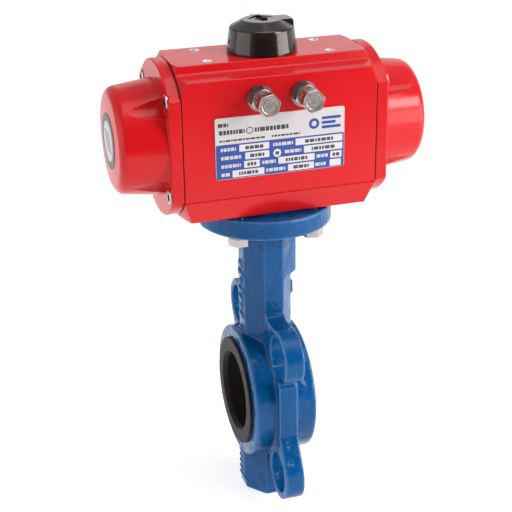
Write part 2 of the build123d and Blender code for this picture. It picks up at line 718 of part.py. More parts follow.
def valve_body():
    """Cast wafer body: ring, neck, top flange, four bolt ears and bottom boss."""
    ring = turned(
        [(-RING_HALF, 0), (-RING_HALF, RING_R), (RING_HALF, RING_R), (RING_HALF, 0)],
        (0, 0, 0),
        X_AXIS,
        rounds=(((-RING_HALF, RING_R), 1.6), ((RING_HALF, RING_R), 1.6)),
    )
    rib = rod(RIB_R, (-EAR_HALF, 0, 0), (EAR_HALF, 0, 0))
    neck = extrude(octagon(NECK_HALF_X, NECK_HALF_Y, 6.0, 6.7), VALVE_FLANGE_BOTTOM + 1)
    pad = extrude(Plane.XY.offset(PAD_LOW) * octagon(20.5, 18.5, 6.0, 8.0), VALVE_FLANGE_BOTTOM + 1 - PAD_LOW)
    pad &= block((0, -30, 80), (30, 30, 140))
    boss = extrude(Plane.XY.offset(BOSS_BOTTOM) * octagon(BOSS_HALF_X, NECK_HALF_Y, 6.5, 7.0), 60)
    boss = chamfer(boss.edges().group_by(Axis.Z)[0], 1.2)
    casting = ring + rib + neck + pad + boss
    for upper, hook in ((True, True), (False, False)):
        casting += extrude(Plane.YZ * ear_plate(upper, hook), EAR_HALF, both=True)
    for upper, hook in ((True, False), (False, True)):
        front = extrude(Plane.YZ * ear_plate(upper, hook), EAR_HALF, both=True)
        casting += Rot(0, 0, 180) * front
    low, high = VALVE_FLANGE_BOTTOM, VALVE_FLANGE_RIM
    casting += turned(
        [(low, 0), (low, VALVE_FLANGE_R), (high, VALVE_FLANGE_R), (high, 0)],
        (0, 0, 0),
        Z_AXIS,
        rounds=(((low, VALVE_FLANGE_R), 0.8), ((high, VALVE_FLANGE_R), 0.8)),
    )
    casting += rod(CONTACT_R, (0, 0, high - 1), (0, 0, BODY_FLOOR))
    casting -= rod(SEAT_R, (-40, 0, 0), (40, 0, 0))
    casting -= rod(STEM_R + 0.6, (0, 0, 0), (0, 0, 160))
    casting -= rod(STEM_BUSH_R + FIT, (0, 0, TOP_BUSH_LOW), (0, 0, 160))
    casting -= rod(STEM_BUSH_R + FIT, (0, 0, 0), (0, 0, LOWER_STEM_END - 1))
    casting -= rod(PLUG_R + FIT, (0, 0, LOWER_STEM_END), (0, 0, BOSS_BOTTOM - 5))
    for x, y in flange_bolt_places():
        casting -= rod(FLANGE_HOLE_R, (x, y, low - 5), (x, y, high + 5))
    return casting


def valve_liner():
    """Rubber seat with a lip on each pipe face."""
    half = LINER_HALF
    lips = ((LINER_LIP_R, 1.0), (LINER_BORE_R + 1.6, 1.5))
    body = turned(
        [
            (-half, LINER_BORE_R + 1.6),
            (-half, LINER_LIP_R),
            (-RING_HALF, LINER_LIP_R),
            (-RING_HALF, SEAT_R - FIT),
            (RING_HALF, SEAT_R - FIT),
            (RING_HALF, LINER_LIP_R),
            (half, LINER_LIP_R),
            (half, LINER_BORE_R + 1.6),
            (half - 3.2, LINER_BORE_R),
            (-half + 3.2, LINER_BORE_R),
        ],
        (0, 0, 0),
        X_AXIS,
        rounds=[((side * half, r), size) for side in (-1, 1) for r, size in lips],
    )
    return body - rod(STEM_R + FIT, (0, 0, -60), (0, 0, 60))


def valve_disc():
    """Disc with a ball edge and a hub for the two stems."""
    disc = Sphere(DISC_R) & block((-DISC_HALF, -40, -40), (DISC_HALF, 40, 40))
    hub = rod(HUB_R, (0, 0, -HUB_END), (0, 0, HUB_END)) & Sphere(DISC_R - 0.2)
    disc += hub
    disc -= rod(STEM_R + 0.02, (0, 0, 2), (0, 0, 40))
    disc -= rod(STEM_R + 0.02, (0, 0, -40), (0, 0, -2))
    for z in (-PIN_Z, PIN_Z):
        disc -= rod(PIN_R + 0.02, (-20, 0, z), (20, 0, z))
    return disc


def upper_stem():
    """Drive stem with a square top end in the pinion's socket."""
    stem = rod(STEM_R, (0, 0, 2.1), (0, 0, BODY_FLOOR))
    square = Rectangle(STEM_SQUARE, STEM_SQUARE) & Circle(STEM_R)
    stem += extrude(Plane.XY.offset(BODY_FLOOR) * square, 20)
    stem -= rod(PIN_R + 0.02, (-20, 0, PIN_Z), (20, 0, PIN_Z))
    for z in STEM_SEAL_PLACES:
        stem -= tube(STEM_R + 1, STEM_R - 1.6, (0, 0, z - 1), (0, 0, z + 1))
    return stem


def stem_seals():
    """O-rings of the upper stem."""
    ring_r = STEM_R - STEM_SEAL_CORD
    return group(*[ring_seal((0, 0, z), Z_AXIS, ring_r, STEM_SEAL_CORD) for z in STEM_SEAL_PLACES])


def lower_stem():
    """Stub that carries the disc's foot."""
    stem = rod(STEM_R, (0, 0, -2.1), (0, 0, LOWER_STEM_END))
    return stem - rod(PIN_R + 0.02, (-20, 0, -PIN_Z), (20, 0, -PIN_Z))


def disc_pins():
    """Pins through the disc's hub and the stems."""
    reach = HUB_R - 0.4
    return group(*[rod(PIN_R, (-reach, 0, z), (reach, 0, z)) for z in (-PIN_Z, PIN_Z)])


def stem_bushes():
    """Bearing bushes of the two stems, fixed in the valve body."""
    top = tube(STEM_BUSH_R, STEM_R + FIT, (0, 0, TOP_BUSH_LOW + 0.1), (0, 0, BODY_FLOOR - 1.5))
    bottom = tube(STEM_BUSH_R, STEM_R + FIT, (0, 0, -33), (0, 0, LOWER_STEM_END + 1))
    return top, bottom


def bottom_plug():
    """Threaded plug that closes the bottom boss."""
    plug = rod(PLUG_R, (0, 0, LOWER_STEM_END - 3), (0, 0, BOSS_BOTTOM))
    return plug - prism(6, (0, 0, BOSS_BOTTOM - 1), (0, 0, BOSS_BOTTOM + 5))


def flange_bolts():
    """Four hexagon bolts from below the valve flange."""
    bolts = []
    under = VALVE_FLANGE_BOTTOM - WASHER_THICK
    for i, (x, y) in enumerate(flange_bolt_places()):
        head = prism(HEX_FLATS, (x, y, under), (x, y, under - STOP_HEAD_THICK), turn=8 * i)
        bolts.append(head + rod(TAP_M8_R, (x, y, under - 1), (x, y, BODY_FLOOR + 12)))
    return group(*bolts)


def flange_washers():
    """Washers under the flange bolts."""
    high = VALVE_FLANGE_BOTTOM
    low = high - WASHER_THICK
    return group(*[tube(7.4, 4.2, (x, y, low), (x, y, high)) for x, y in flange_bolt_places()])


# ---- write the parts ----------------------------------------------------------------------
def half_turn(shape):
    """The same piece on the other side of the stem axis."""
    return Rot(0, 0, 180) * shape


def all_parts():
    """Every node by name."""
    parts = {"actuator_body": actuator_body(), "nameplate": nameplate()}
    sided = {
        "end_cap": right_end_cap(),
        "cap_gasket": right_cap_gasket(),
        "cap_screws": right_cap_screws(),
        "end_label": right_end_label(),
        "piston": right_piston(),
        "piston_guide": guide_ring(0),
        "wear_ring": right_wear_ring(),
        "piston_seal": right_piston_seal(),
        "springs": right_springs(),
        "spring_seats": right_spring_seats(),
    }
    for name, shape in sided.items():
        parts["right_" + name] = shape
        parts["left_" + name] = half_turn(shape)
    parts["pinion"] = pinion()
    parts["stop_cam"] = stop_cam()
    parts["pinion_bottom_bush"], parts["pinion_top_bush"] = pinion_bushes()
    parts["pinion_bottom_seal"], parts["pinion_top_seal"] = pinion_seals()
    parts["thrust_washer"] = thrust_washer()
    parts["snap_ring"] = snap_ring()
    parts["indicator_cap"] = indicator_cap()
    parts["indicator_pointer"] = indicator_pointer()
    parts["indicator_screw"] = indicator_screw()
    for name, x in (("open", -STOP_X), ("close", STOP_X)):
        parts[name + "_stop_screw"] = stop_screw(x)
        parts[name + "_stop_nut"] = stop_nut(x)
        parts[name + "_stop_washer"] = stop_washer(x)
    parts["valve_body"] = valve_body()
    parts["valve_liner"] = valve_liner()
    parts["valve_disc"] = valve_disc()
    parts["upper_stem"] = upper_stem()
    parts["lower_stem"] = lower_stem()
    parts["disc_pins"] = disc_pins()
    parts["stem_seals"] = stem_seals()
    parts["stem_top_bush"], parts["stem_bottom_bush"] = stem_bushes()
    parts["bottom_plug"] = bottom_plug()
    parts["flange_bolts"] = flange_bolts()
    parts["flange_washers"] = flange_washers()
    return parts


os.makedirs("parts", exist_ok=True)
for name, shape in all_parts().items():
    export_step(shape, f"parts/{name}.step")
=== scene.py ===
import json
import random
from math import cos, pi, radians, sin

import bmesh
import bpy
from mathutils import Matrix, Vector


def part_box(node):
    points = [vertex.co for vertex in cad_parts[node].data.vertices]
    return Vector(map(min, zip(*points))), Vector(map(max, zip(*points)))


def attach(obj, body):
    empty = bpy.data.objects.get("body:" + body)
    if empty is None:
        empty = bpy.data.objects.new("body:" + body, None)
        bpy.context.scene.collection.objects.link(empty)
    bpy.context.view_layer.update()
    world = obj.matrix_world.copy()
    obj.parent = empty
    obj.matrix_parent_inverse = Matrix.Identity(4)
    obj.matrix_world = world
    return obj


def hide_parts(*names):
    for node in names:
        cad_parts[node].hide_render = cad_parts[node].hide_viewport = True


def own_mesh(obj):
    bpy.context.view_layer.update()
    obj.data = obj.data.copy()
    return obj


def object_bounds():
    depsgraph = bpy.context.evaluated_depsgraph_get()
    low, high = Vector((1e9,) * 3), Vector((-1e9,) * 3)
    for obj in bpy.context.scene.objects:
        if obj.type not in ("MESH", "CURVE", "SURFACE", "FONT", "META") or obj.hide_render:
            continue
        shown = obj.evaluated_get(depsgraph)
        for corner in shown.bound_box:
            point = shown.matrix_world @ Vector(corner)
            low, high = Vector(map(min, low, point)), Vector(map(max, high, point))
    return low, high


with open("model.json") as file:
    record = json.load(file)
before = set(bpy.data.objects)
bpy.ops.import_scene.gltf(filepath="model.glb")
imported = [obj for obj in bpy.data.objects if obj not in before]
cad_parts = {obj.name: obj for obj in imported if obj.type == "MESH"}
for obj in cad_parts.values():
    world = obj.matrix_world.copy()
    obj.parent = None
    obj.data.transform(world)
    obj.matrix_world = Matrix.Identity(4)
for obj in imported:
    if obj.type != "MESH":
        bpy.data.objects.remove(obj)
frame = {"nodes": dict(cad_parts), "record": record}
cad_low, cad_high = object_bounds()
NODES = frame["nodes"]
MM = 0.001


# ---- camera, light and floor ----------------------------------------------------------------
CAMERA_AZIMUTH = radians(-17.35)
CAMERA_ELEVATION = radians(23.12)
CAMERA_ROLL = radians(-0.905)
CAMERA_DISTANCE = 0.8253
CAMERA_TARGET = Vector((-0.006, 0.0, 0.0995))
CAMERA_LENS = 86.13

# Brightness of the surround at each share of the way from front to back.
SURROUND = ((0.0, 0.015), (0.1, 0.02), (0.2, 0.3), (0.5, 0.42), (0.75, 0.5), (1.0, 0.5))

# Lamps: name, place, aim, size, power and tint, in metres and watts.
LAMPS = (
    ("top", (0.3, -0.3, 1.7), (0, 0, 0.1), (1.2, 1.2), 10, (1.0, 1.0, 1.0)),
    ("right", (1.0, -0.65, 0.2), (0, 0, 0.18), (0.95, 0.5), 8.5, (1.0, 0.95, 0.93)),
    ("key", (0.82, -0.82, 0.72), (0.05, 0, 0.18), (0.5, 0.3), 8, (1.0, 0.96, 0.95)),
    ("left", (-1.25, -0.15, 0.45), (0, 0, 0.15), (1.3, 0.9), 5.5, (1.0, 0.93, 0.9)),
    ("back", (0.9, 1.5, 0.9), (0, 0, 0.1), (2.0, 1.0), 3.2, (1.0, 1.0, 1.0)),
)

FLOOR_NEAR = -0.85
FLOOR_FAR = 7.0
FLOOR_HALF = 7.0


def make_camera():
    """Camera at the azimuth, elevation and distance of the product view."""
    across = cos(CAMERA_ELEVATION)
    back = Vector((sin(CAMERA_AZIMUTH) * across, -cos(CAMERA_AZIMUTH) * across, sin(CAMERA_ELEVATION)))
    data = bpy.data.cameras.new("camera")
    data.lens = CAMERA_LENS
    data.sensor_width = 36.0
    data.clip_start = 0.05
    data.clip_end = 60.0
    camera = bpy.data.objects.new("camera", data)
    bpy.context.scene.collection.objects.link(camera)
    camera.location = CAMERA_TARGET + back * CAMERA_DISTANCE
    aim = (-back).to_track_quat("-Z", "Y").to_matrix()
    roll = Matrix.Rotation(CAMERA_ROLL, 3, "Z")
    camera.rotation_mode = "QUATERNION"
    camera.rotation_quaternion = (aim @ roll).to_quaternion()
    bpy.context.scene.camera = camera


def area_light(name, place, aim, size, power, tint):
    """Soft rectangular lamp."""
    data = bpy.data.lights.new(name, "AREA")
    data.shape = "RECTANGLE"
    data.size, data.size_y = size
    data.energy = power
    data.color = tint
    lamp = bpy.data.objects.new(name, data)
    lamp.location = place
    lamp.rotation_euler = (Vector(aim) - Vector(place)).to_track_quat("-Z", "Y").to_euler()
    bpy.context.scene.collection.objects.link(lamp)


def make_world():
    """Studio surround: dark towards the front, bright at the sides and behind."""
    world = bpy.data.worlds.new("studio")
    bpy.context.scene.world = world
    world.use_nodes = True
    tree = world.node_tree
    tree.nodes.clear()
    output = tree.nodes.new("ShaderNodeOutputWorld")
    background = tree.nodes.new("ShaderNodeBackground")
    coordinate = tree.nodes.new("ShaderNodeTexCoord")
    split = tree.nodes.new("ShaderNodeSeparateXYZ")
    tree.links.new(coordinate.outputs["Generated"], split.inputs[0])
    depth = tree.nodes.new("ShaderNodeMapRange")
    depth.inputs["From Min"].default_value = -1.0
    tree.links.new(split.outputs["Y"], depth.inputs["Value"])
    ramp = tree.nodes.new("ShaderNodeValToRGB")
    tree.links.new(depth.outputs[0], ramp.inputs[0])
    elements = ramp.color_ramp.elements
    elements[0].position = SURROUND[0][0]
    elements[1].position = SURROUND[-1][0]
    for share, _ in SURROUND[1:-1]:
        elements.new(share)
    for element, (_, level) in zip(elements, SURROUND):
        element.color = (level, level, level, 1)
    tree.links.new(ramp.outputs[0], background.inputs["Color"])
    backdrop = tree.nodes.new("ShaderNodeBackground")
    backdrop.inputs["Color"].default_value = (0.97, 0.97, 0.97, 1)
    choice = tree.nodes.new("ShaderNodeMixShader")
    rays = tree.nodes.new("ShaderNodeLightPath")
    tree.links.new(rays.outputs["Is Camera Ray"], choice.inputs[0])
    tree.links.new(background.outputs[0], choice.inputs[1])
    tree.links.new(backdrop.outputs[0], choice.inputs[2])
    tree.links.new(choice.outputs[0], output.inputs[0])


def make_floor(height):
    """Plain pale table that ends in front of the object."""
    mesh = bpy.data.meshes.new("floor")
    near = [(x, FLOOR_NEAR, height) for x in (-FLOOR_HALF, FLOOR_HALF)]
    far = [(x, FLOOR_FAR, height) for x in (FLOOR_HALF, -FLOOR_HALF)]
    mesh.from_pydata(near + far, [], [(0, 1, 2, 3)])
    floor = bpy.data.objects.new("floor", mesh)
    bpy.context.scene.collection.objects.link(floor)
    paint = Paint("floor_paper", (0.5, 0.5, 0.5), roughness=0.9, Emission_Strength=0.72)
    paint.shader.inputs["Emission Color"].default_value = (1, 1, 1, 1)
    paint.colour(paint.mix((0.48, 0.48, 0.48), (0.52, 0.52, 0.52), paint.noise(30, 3)))
    floor.data.materials.append(paint.material)


# ---- material kit ---------------------------------------------------------------------------
class Paint:
    """One procedural material. Object coordinates are the row frame, in metres."""

    def __init__(self, name, colour, metallic=0.0, roughness=0.5, **sockets):
        self.material = bpy.data.materials.new(name)
        self.material.use_nodes = True
        self.tree = self.material.node_tree
        self.shader = self.tree.nodes["Principled BSDF"]
        self.shader.inputs["Base Color"].default_value = (*colour, 1)
        self.shader.inputs["Metallic"].default_value = metallic
        self.shader.inputs["Roughness"].default_value = roughness
        for socket, value in sockets.items():
            self.shader.inputs[socket.replace("_", " ")].default_value = value
        self.place = self.tree.nodes.new("ShaderNodeTexCoord").outputs["Object"]

    def node(self, kind, **settings):
        made = self.tree.nodes.new(kind)
        for key, value in settings.items():
            setattr(made, key, value)
        return made

    def feed(self, socket, value):
        """Links a node output to an input, or writes a constant in it."""
        if isinstance(value, bpy.types.NodeSocket):
            self.tree.links.new(value, socket)
        elif isinstance(value, tuple) and len(value) == 3 and socket.type == "RGBA":
            socket.default_value = (*value, 1)
        else:
            socket.default_value = value

    def noise(self, scale, detail):
        texture = self.node("ShaderNodeTexNoise")
        self.feed(texture.inputs["Vector"], self.place)
        texture.inputs["Scale"].default_value = scale
        texture.inputs["Detail"].default_value = detail
        return texture.outputs[0]

    def span(self, value, low, high, to_low=0.0, to_high=1.0):
        """Clamped linear map."""
        made = self.node("ShaderNodeMapRange")
        self.feed(made.inputs["Value"], value)
        made.inputs["From Min"].default_value = low
        made.inputs["From Max"].default_value = high
        made.inputs["To Min"].default_value = to_low
        made.inputs["To Max"].default_value = to_high
        return made.outputs[0]

    def mix(self, first, second, factor):
        made = self.node("ShaderNodeMix", data_type="RGBA")
        self.feed(made.inputs[0], factor)
        self.feed(made.inputs[6], first)
        self.feed(made.inputs[7], second)
        return made.outputs[2]

    def colour(self, value):
        self.feed(self.shader.inputs["Base Color"], value)

    def roughness(self, value):
        self.feed(self.shader.inputs["Roughness"], value)

    def bump(self, *layers, round_edges=0.0):
        """Stacks (height, strength, distance) bumps into the normal, over softened edges."""
        normal = None
        if round_edges > 0:
            normal = self.node("ShaderNodeBevel", samples=4).outputs[0]
            normal.node.inputs["Radius"].default_value = round_edges
        for height, strength, distance in layers:
            made = self.node("ShaderNodeBump")
            made.inputs["Strength"].default_value = strength
            made.inputs["Distance"].default_value = distance
            self.feed(made.inputs["Height"], height)
            if normal is not None:
                self.feed(made.inputs["Normal"], normal)
            normal = made.outputs[0]
        self.feed(self.shader.inputs["Normal"], normal)

    def edge(self, soft, sharp):
        """Mask of convex edges on a dense mesh."""
        point = self.node("ShaderNodeNewGeometry").outputs["Pointiness"]
        return self.span(point, soft, sharp)


def red_coating():
    """Gloss powder coat on aluminium: faint orange peel, slight tone drift."""
    paint = Paint("red_coating", (0.62, 0.007, 0.011), roughness=0.22, Specular_IOR_Level=0.3)
    drift = paint.span(paint.noise(14, 3), 0.3, 0.7)
    grain = paint.noise(1900, 2)
    deep = paint.mix((0.59, 0.006, 0.01), (0.65, 0.009, 0.013), drift)
    paint.colour(paint.mix(deep, (0.72, 0.02, 0.025), paint.span(grain, 0.6, 0.8, 0.0, 0.2)))
    paint.roughness(paint.span(paint.noise(260, 3), 0.3, 0.7, 0.17, 0.25))
    paint.bump((paint.noise(420, 2), 0.06, 0.0003), round_edges=0.0007)
    return paint.material


def blue_coating():
    """Gloss epoxy coat over a sand casting, with pale convex edges that are partly thin paint and partly
    painted highlight.
    """
    paint = Paint("blue_coating", (0.0, 0.09, 0.28), roughness=0.2, Specular_IOR_Level=0.25)
    drift = paint.span(paint.noise(22, 4), 0.3, 0.7)
    body = paint.mix((0.001, 0.064, 0.205), (0.002, 0.09, 0.29), drift)
    # Pale blue on convex edges: partly thin paint, partly a painted highlight along the edges.
    thin_paint_and_highlight = paint.span(paint.edge(soft=0.505, sharp=0.56), 0.0, 1.0, 0.0, 0.75)
    edge_wear_and_highlight = paint.mix(body, (0.09, 0.28, 0.6), thin_paint_and_highlight)
    speck = paint.span(paint.noise(1500, 2), 0.62, 0.75, 0.0, 0.15)
    paint.colour(paint.mix(edge_wear_and_highlight, (0.02, 0.15, 0.4), speck))
    paint.roughness(paint.span(paint.noise(300, 3), 0.3, 0.7, 0.12, 0.22))
    waves = (paint.noise(60, 2), 0.7, 0.003)
    sand = (paint.noise(190, 3), 0.6, 0.0009)
    grain = (paint.noise(620, 2), 0.35, 0.0003)
    paint.bump(waves, sand, grain)
    return paint.material


def metal(name, tone, rough, relief=0.12):
    """Bare or plated metal with a fine lay, slight stain and softened edges."""
    paint = Paint(name, tone, metallic=1.0, roughness=rough)
    lay = paint.noise(700, 3)
    stained = tuple(channel * 0.85 for channel in tone)
    paint.colour(paint.mix(tone, stained, paint.span(paint.noise(160, 4), 0.35, 0.75)))
    paint.roughness(paint.span(lay, 0.3, 0.7, rough * 0.75, rough * 1.3))
    paint.bump((paint.noise(350, 3), relief, 0.0003), (lay, relief / 2, 0.0001), round_edges=0.0003)
    return paint.material


def stainless_steel():
    """Cold-formed stainless steel: nearly even, with a soft cloudy tone."""
    paint = Paint("stainless", (0.5, 0.455, 0.44), metallic=1.0, roughness=0.27)
    cloud = paint.span(paint.noise(90, 2), 0.3, 0.7)
    paint.colour(paint.mix((0.54, 0.495, 0.48), (0.46, 0.415, 0.4), cloud))
    paint.roughness(paint.span(paint.noise(130, 1), 0.3, 0.7, 0.24, 0.31))
    return paint.material


def rubber():
    """Moulded black rubber with a dusty bloom."""
    paint = Paint("black_rubber", (0.01, 0.008, 0.008), roughness=0.5, Specular_IOR_Level=0.22)
    bloom = paint.span(paint.noise(120, 5), 0.35, 0.75)
    paint.colour(paint.mix((0.007, 0.006, 0.006), (0.018, 0.014, 0.013), bloom))
    paint.roughness(paint.span(paint.noise(600, 3), 0.3, 0.7, 0.42, 0.62))
    paint.bump((paint.noise(700, 3), 0.15, 0.0003))
    return paint.material


def plastic(name, colour, rough, mottle=0.1):
    """Moulded plastic with flow mottle and a faint texture."""
    paint = Paint(name, colour, roughness=rough, Coat_Weight=0.2, Coat_Roughness=0.05)
    drift = paint.span(paint.noise(60, 3), 0.3, 0.7)
    light = tuple(min(1.0, channel * (1 + mottle) + 0.004) for channel in colour)
    paint.colour(paint.mix(colour, light, drift))
    paint.roughness(paint.span(paint.noise(800, 3), 0.3, 0.7, rough * 0.8, rough * 1.3))
    paint.bump((paint.noise(1100, 2), 0.06, 0.0002))
    return paint.material


# ---- mesh helpers, with points and sizes in millimetres --------------------------------------
def piece(name, mesh, paint, body, smooth=None):
    """New visible piece at the row frame's origin that moves with a CAD body."""
    obj = bpy.data.objects.new(name, mesh)
    bpy.context.scene.collection.objects.link(obj)
    mesh.materials.clear()
    mesh.materials.append(MATERIALS[paint])
    if smooth is not None:
        shade(mesh, smooth)
    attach(obj, body)
    return obj


def shade(mesh, angle):
    """Smooth shading below an edge angle, in degrees."""
    mesh.polygons.foreach_set("use_smooth", [True] * len(mesh.polygons))
    edit = bmesh.new()
    edit.from_mesh(mesh)
    for edge in edit.edges:
        edge.smooth = len(edge.link_faces) == 2 and edge.calc_face_angle(0) < radians(angle)
    edit.to_mesh(mesh)
    edit.free()


def mesh_from(name, edit):
    """Mesh data from a bmesh, with outward normals."""
    bmesh.ops.recalc_face_normals(edit, faces=edit.faces)
    mesh = bpy.data.meshes.new(name)
    edit.to_mesh(mesh)
    edit.free()
    return mesh


def add_block(edit, low, high):
    """Box between two corners."""
    size = [(b - a) * MM for a, b in zip(low, high)]
    middle = [(a + b) / 2 * MM for a, b in zip(low, high)]
    bmesh.ops.create_cube(edit, size=1, matrix=Matrix.Translation(middle) @ Matrix.Diagonal((*size, 1)))


def add_rod(edit, radius, start, end, sides, end_radius=None):
    """Cylinder or cone between two points."""
    start, end = Vector(start) * MM, Vector(end) * MM
    along = end - start
    turn = along.to_track_quat("Z", "Y").to_matrix().to_4x4()
    last = radius if end_radius is None else end_radius
    bmesh.ops.create_cone(
        edit,
        cap_ends=True,
        segments=sides,
        radius1=radius * MM,
        radius2=last * MM,
        depth=along.length,
        matrix=Matrix.Translation((start + end) / 2) @ turn,
    )


def add_rings(edit, rings, closed=True):
    """Skin between rings with the same number of points, with flat ends where it is closed."""
    made = [[edit.verts.new(point * MM) for point in ring] for ring in rings]
    for low, high in zip(made, made[1:]):
        for j in range(len(low)):
            k = (j + 1) % len(low)
            edit.faces.new((low[j], low[k], high[k], high[j]))
    if closed:
        edit.faces.new(made[0])
        edit.faces.new(made[-1])


def add_plate(edit, outline, to_row, levels):
    """Flat outline extruded between two levels of its own frame."""
    add_rings(edit, [[to_row(x, y, level) for x, y in outline] for level in levels])


def rounded(left, bottom, right, top, radius, steps=4):
    """Outline of a rectangle with round corners."""
    points = []
    corners = ((right, top, 0), (left, top, 90), (left, bottom, 180), (right, bottom, 270))
    for x, y, start in corners:
        centre_x = x - radius if x == right else x + radius
        centre_y = y - radius if y == top else y + radius
        for i in range(steps + 1):
            angle = radians(start + 90 * i / steps)
            points.append((centre_x + radius * cos(angle), centre_y + radius * sin(angle)))
    return points


def disc_outline(x, y, radius, steps=32):
    """Outline of a circle."""
    angles = [2 * pi * i / steps for i in range(steps)]
    return [(x + radius * cos(angle), y + radius * sin(angle)) for angle in angles]


# ---- blue casting ---------------------------------------------------------------------------
NECK_HALF = 16.0
MARK_COUNT = 7
MARK_FIRST_Z = 58.0
MARK_PITCH = 6.2
MARK_PROUD = 2.2
MARK_STUD_RADIUS = 2.5
MARK_LONG, MARK_SHORT = 4.6, 3.4
MARK_HALF_HEIGHT = 1.7
STEP_WIDTH = 2.2
STEP_HALF_HEIGHT = 2.6
NECK_BLOCK = ((NECK_HALF, -5.0, 71.0), (18.6, 5.0, 80.0))
FOOT_HALF = 17.0
FOOT_BARS = 5
FOOT_BAR_FIRST_Z = -51.5
FOOT_BAR_PITCH = 4.7
FOOT_BAR_PROUD = 2.3
FOOT_BAR_HALF = 5.6
FOOT_BAR_HALF_HEIGHT = 1.2
PAD_OUTLINE = ((-47.0, 25.5), (-48.9, 22.5), (-48.9, -18.0), (-47.0, -21.0), (-40.0, -21.0), (-40.0, 25.5))
PAD_HALF = 6.4
SKIN_VOXEL = 0.8


def add_neck_marks(edit):
    """Column of raised marks on the neck's left face, studs and stepped bars, and a block on its right."""
    face = -NECK_HALF
    crown = -NECK_HALF - MARK_PROUD
    for i in range(MARK_COUNT):
        z = MARK_FIRST_Z + MARK_PITCH * i
        if i % 3 == 1:
            add_rod(edit, MARK_STUD_RADIUS, (face, 0, z), (crown, 0, z), 20)
        else:
            half = MARK_LONG if i % 2 else MARK_SHORT
            add_block(edit, (crown, -half, z - MARK_HALF_HEIGHT), (face, half, z + MARK_HALF_HEIGHT))
            step = half - STEP_WIDTH
            add_block(edit, (crown, step, z - STEP_HALF_HEIGHT), (face, half, z + STEP_HALF_HEIGHT))
    add_block(edit, *NECK_BLOCK)


def add_foot_bars(edit):
    """Ladder of raised bars on the foot's left face."""
    face = -FOOT_HALF
    crown = -FOOT_HALF - FOOT_BAR_PROUD
    for i in range(FOOT_BARS):
        z = FOOT_BAR_FIRST_Z - FOOT_BAR_PITCH * i
        low = (crown, -FOOT_BAR_HALF, z - FOOT_BAR_HALF_HEIGHT)
        add_block(edit, low, (face, FOOT_BAR_HALF, z + FOOT_BAR_HALF_HEIGHT))


def add_rim_pads(edit):
    """Proud pad on each flank of the rim, one turned half round from the other."""
    for side in (-1, 1):
        outline = [(side * y, side * z) for y, z in PAD_OUTLINE]
        add_plate(edit, outline, lambda y, z, x: Vector((x, y, z)), (-PAD_HALF, PAD_HALF))


def make_casting():
    """Valve casting with blended edges: the CAD body and its cast details as one skin."""
    edit = bmesh.new()
    edit.from_mesh(NODES["valve_body"].data)
    add_neck_marks(edit)
    add_foot_bars(edit)
    add_rim_pads(edit)
    source = bpy.data.objects.new("casting_source", mesh_from("casting_source", edit))
    bpy.context.scene.collection.objects.link(source)
    remesh = source.modifiers.new("skin", "REMESH")
    remesh.mode = "VOXEL"
    remesh.voxel_size = SKIN_VOXEL * MM
    smooth = source.modifiers.new("soft", "SMOOTH")
    smooth.factor = 0.5
    smooth.iterations = 5
    shown = source.evaluated_get(bpy.context.evaluated_depsgraph_get())
    mesh = bpy.data.meshes.new_from_object(shown)
    bpy.data.objects.remove(source)
    mesh.name = "valve_casting"
    mesh.polygons.foreach_set("use_smooth", [True] * len(mesh.polygons))
    casting = piece("valve_casting", mesh, "blue_coating", "housing")
    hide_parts("valve_body")


# ---- nameplate ------------------------------------------------------------------------------
PLATE_FACE = -38.8
PLATE_LEFT, PLATE_TOP = -42.9, 209.9
PLATE_WIDTH, PLATE_HEIGHT = 84.0, 39.2

# Levels of each layer of ink over the plate's face.
PANEL = (-0.02, 0.03)
ON_PLATE = (0.0, 0.04)
FIELD = (0.0, 0.06)
ON_PANEL = (0.02, 0.06)
ON_BADGE = (0.03, 0.06)
ON_FIELD = (0.05, 0.09)

# Bars that stand for letters, in millimetres.
LETTER_WIDTHS = (1.0, 3.2)
LETTER_GAP = 0.5
LETTER_ROUND = 0.2

# Places are shares of the plate's width from its left and of its height from its top.
# Fields and labels of a row are (left, right), and words are (left, right, top, bottom).
FIRST_ROW, ROW_PITCH, FIELD_DEEP = 0.455, 0.137, 0.112
WORD_TOP, WORD_BOTTOM = 0.03, 0.085
WORD_SHARE = 0.3
FIELD_ROWS = (
    ((0.18, 0.41), (0.615, 0.985)),
    ((0.225, 0.41), (0.68, 0.985)),
    ((0.215, 0.335), (0.48, 0.765), (0.89, 0.98)),
    ((0.125, 0.37), (0.555, 0.76), (0.885, 0.975)),
)
EMPTY_FIELD = (3, 0.885)
LABEL_ROWS = (
    ((0.04, 0.155), (0.44, 0.595)),
    ((0.04, 0.2), (0.53, 0.66)),
    ((0.04, 0.19), (0.355, 0.46), (0.78, 0.87)),
    ((0.04, 0.105), (0.385, 0.535), (0.77, 0.865)),
)
STAR_X, STAR_Z = 0.472, 0.655
STAR_REACHES = (2.9, 2.35)
STAR_WORD = (0.457, 0.487, 0.628, 0.682)
TITLE_WORDS = (
    (0.022, 0.1, 0.085, 0.145),
    (0.03, 0.225, 0.2, 0.27),
    (0.3, 0.56, 0.2, 0.27),
    (0.03, 0.38, 0.355, 0.385),
    (0.43, 0.65, 0.355, 0.385),
)
# Round badges: ink, place, radius in millimetres and levels.
BADGES = (
    ("dark", 0.262, 0.235, 2.3, ON_PLATE),
    ("pale", 0.262, 0.235, 1.75, ON_BADGE),
    ("blue", 0.76, 0.24, 3.4, ON_PLATE),
    ("pale", 0.76, 0.24, 1.7, ON_BADGE),
)
STRIPES_LEFT, STRIPE_DEEP = 0.82, 0.045
STRIPES = ((0.14, 0.97), (0.215, 0.93), (0.29, 0.97))
PANEL_ROUND, FIELD_ROUND, STRIPE_ROUND = 1.1, 0.35, 0.5


def on_plate(x, z, level):
    """Point over the plate's face."""
    return Vector((x, PLATE_FACE - level, z))


def plate_x(share):
    return PLATE_LEFT + PLATE_WIDTH * share


def plate_z(share):
    return PLATE_TOP - PLATE_HEIGHT * share


